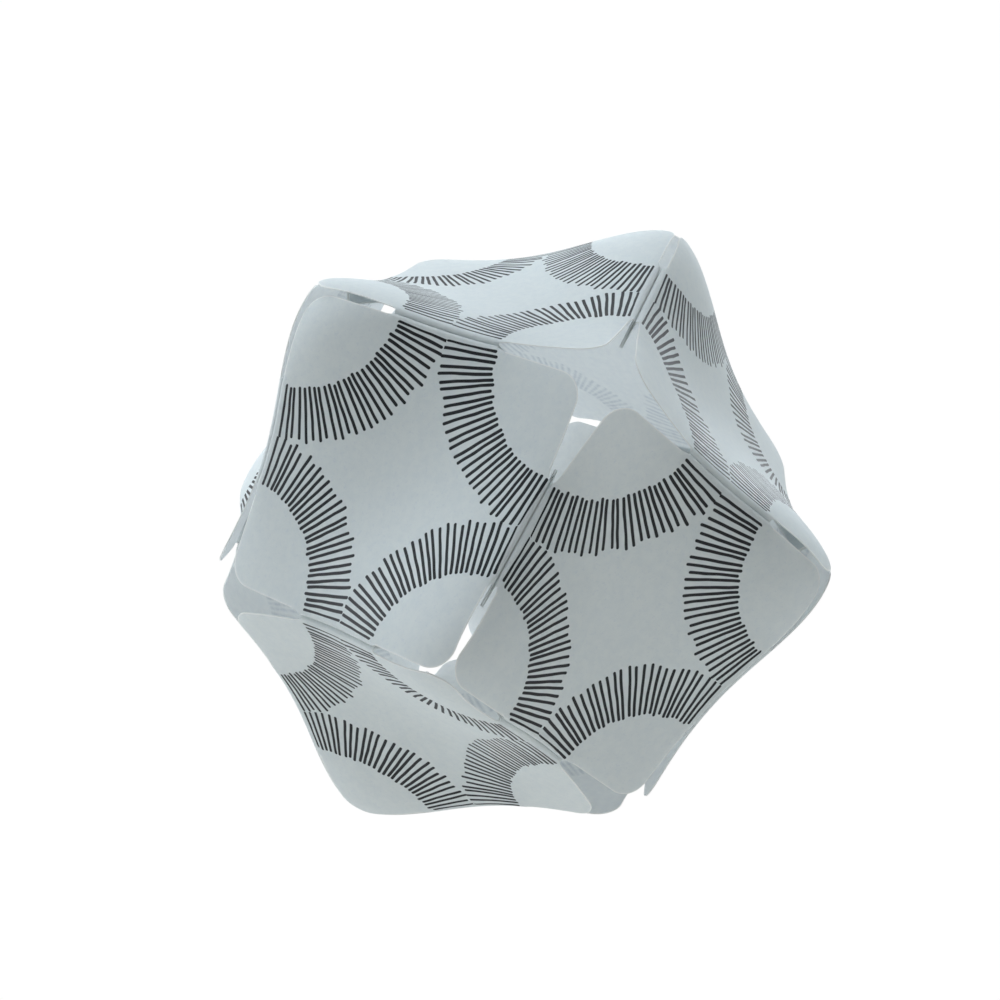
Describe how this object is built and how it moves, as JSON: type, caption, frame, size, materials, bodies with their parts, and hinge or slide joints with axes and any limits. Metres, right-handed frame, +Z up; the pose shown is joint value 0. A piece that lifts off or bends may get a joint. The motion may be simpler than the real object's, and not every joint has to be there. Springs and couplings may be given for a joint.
{
  "type": "paper tile ball",
  "caption": "Open hollow ball of square card tiles with rounded free corners, folded together at inward tabs and printed with fans of pen strokes.",
  "frame": {"origin": "bottom centre of the ball's bounding box, on the floor straight below the ball's centre", "axes": "+Z up as the ball stands, +X to the right as seen from the front through two opposite openings between four tiles, -Y towards the viewer"},
  "size_m": [0.1812, 0.165, 0.165],
  "materials": {
    "card": "matt uncoated",
    "tape": "satin"
  },
  "bodies": {
    "root": {"tape_back_left_to_lower_left": "tape", "tape_back_left_to_upper_left": "tape", "tape_back_right_to_lower_right": "tape", "tape_back_right_to_upper_right": "tape", "tape_back_to_back_left": "tape", "tape_back_to_back_right": "tape", "tape_back_to_upper_left": "tape", "tape_back_to_upper_right": "tape", "tape_bottom_to_back_left": "tape", "tape_bottom_to_back_right": "tape", "tape_bottom_to_lower_left": "tape", "tape_bottom_to_lower_right": "tape", "tape_front_left_to_lower_left": "tape", "tape_front_left_to_upper_left": "tape", "tape_front_right_to_lower_right": "tape", "tape_front_right_to_upper_right": "tape", "tape_front_to_front_left": "tape", "tape_front_to_front_right": "tape", "tape_front_to_lower_left": "tape", "tape_front_to_lower_right": "tape", "tape_top_to_front_left": "tape", "tape_top_to_front_right": "tape", "tape_top_to_upper_left": "tape", "tape_top_to_upper_right": "tape", "tile_back": "card", "tile_back_left": "card", "tile_back_right": "card", "tile_bottom": "card", "tile_front": "card", "tile_front_left": "card", "tile_front_right": "card", "tile_lower_left": "card", "tile_lower_right": "card", "tile_top": "card", "tile_upper_left": "card", "tile_upper_right": "card"}
  },
  "joints": []
}
